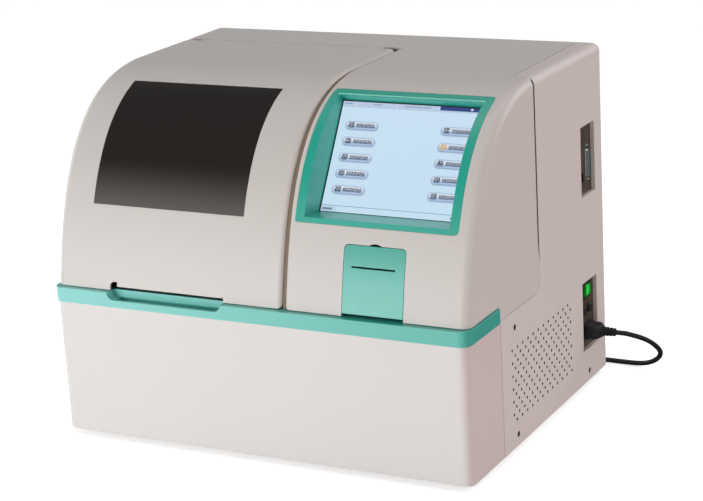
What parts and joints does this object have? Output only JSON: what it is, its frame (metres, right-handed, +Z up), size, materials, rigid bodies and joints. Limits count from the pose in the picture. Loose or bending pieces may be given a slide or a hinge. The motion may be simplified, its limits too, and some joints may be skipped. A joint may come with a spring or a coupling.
{
  "type": "benchtop chemistry analyzer",
  "caption": "Benchtop chemistry analyzer with a hinged windowed lid over a sampling deck, a sunk touch screen, a ticket printer and a mains lead.",
  "frame": {"origin": "centre of the object's footprint, on the table under its feet, without the free lead", "axes": "X to the right, Y from the front to the back, Z up; the lid and the screen face -Y"},
  "size_m": [0.6915, 0.5933, 0.471],
  "materials": {
    "shell": "warm off-white moulded and painted covers, satin",
    "shell_front": "white painted front panel, satin",
    "teal": "turquoise moulded plastic, satin",
    "window": "dark tinted acrylic, glossy",
    "screen": "lit pale blue screen behind glass",
    "steel": "stainless steel, fine brushed",
    "zinc": "zinc plated sheet steel",
    "white": "white plastic and powder coat",
    "smoke": "smoke-tinted plastic",
    "black": "black plastic",
    "rubber": "black rubber",
    "green": "lit green rocker",
    "blue": "blue-grey connector",
    "board": "green circuit board",
    "lead": "black cable sheath"
  },
  "bodies": {
    "case": {"base_tray": "zinc", "foot_front_left": "rubber", "foot_front_right": "rubber", "foot_rear_left": "rubber", "foot_rear_right": "rubber", "lower_front_panel": "shell_front", "belt_trim": "teal", "left_side_panel": "shell", "right_side_panel": "shell", "back_panel": "shell", "fixed_cover": "shell", "screen_bezel": "teal", "touch_screen": "screen", "printer_housing": "black", "print_head": "black", "hinge_bracket_left": "zinc", "hinge_bracket_right": "zinc", "hinge_pin_left": "steel", "hinge_pin_right": "steel", "connector_plate": "zinc", "data_connector": "blue", "round_connector": "steel", "small_connector": "black", "main_board": "board", "power_plate": "zinc", "switch_frame": "black", "fuse_holder_front": "black", "fuse_holder_rear": "black", "mains_inlet": "black", "power_supply": "zinc", "fan_frame": "black", "fluid_ports": "steel", "work_deck": "white", "bay_back_wall": "white", "carousel_tub": "white", "carousel_cover": "smoke", "carousel_motor": "black", "rotor_tub": "white", "rotor_cover": "smoke", "rotor_motor": "black", "column_guide": "white", "wash_well": "steel", "photometer": "black", "syringe_barrel": "smoke", "inlet_plug": "rubber", "mains_lead": "lead", "lead_coil": "lead", "wall_plug": "rubber"},
    "lid_body": {"lid": "shell", "lid_window": "window"},
    "printer_door_body": {"printer_door": "teal"},
    "platen": {"platen_roller": "rubber"},
    "rocker": {"power_rocker": "green"},
    "fan": {"fan_rotor": "black"},
    "carousel": {"reagent_carousel": "white"},
    "rotor": {"reaction_rotor": "white"},
    "probe_lift": {"probe_column": "steel"},
    "probe_swing": {"probe_arm": "white", "probe_needle": "steel"},
    "plunger": {"syringe_plunger": "steel"}
  },
  "joints": [
    {"name": "lid_hinge", "type": "hinge", "parent": "case", "child": "lid_body", "pos_m": [-0.1289, 0.129, 0.4675], "axis": [-1, 0, 0], "range_deg": [0, 75]},
    {"name": "printer_door_hinge", "type": "hinge", "parent": "case", "child": "printer_door_body", "pos_m": [0.1696, -0.219, 0.218], "axis": [1, 0, 0], "range_deg": [0, 80]},
    {"name": "platen_spin", "type": "hinge", "parent": "printer_door_body", "child": "platen", "pos_m": [0.16875, -0.203, 0.263], "axis": [1, 0, 0], "continuous": true},
    {"name": "rocker_hinge", "type": "hinge", "parent": "case", "child": "rocker", "pos_m": [0.294, 0.1705, 0.1355], "axis": [0, 0, 1], "range_deg": [-14, 0]},
    {"name": "fan_spin", "type": "hinge", "parent": "case", "child": "fan", "pos_m": [0.17, 0.2112, 0.338], "axis": [0, 1, 0], "continuous": true},
    {"name": "carousel_spin", "type": "hinge", "parent": "case", "child": "carousel", "pos_m": [-0.182, -0.019, 0.2033], "axis": [0, 0, 1], "continuous": true},
    {"name": "rotor_spin", "type": "hinge", "parent": "case", "child": "rotor", "pos_m": [-0.024, -0.116, 0.2033], "axis": [0, 0, 1], "continuous": true},
    {"name": "probe_lift_slide", "type": "slide", "parent": "case", "child": "probe_lift", "axis": [0, 0, 1], "range_m": [-0.036, 0]},
    {"name": "probe_swing_hinge", "type": "hinge", "parent": "probe_lift", "child": "probe_swing", "pos_m": [-0.032, 0.024, 0.306], "axis": [0, 0, 1], "range_deg": [-77.76, 47.59]},
    {"name": "plunger_slide", "type": "slide", "parent": "case", "child": "plunger", "axis": [0, 0, 1], "range_m": [-0.045, 0]}
  ]
}
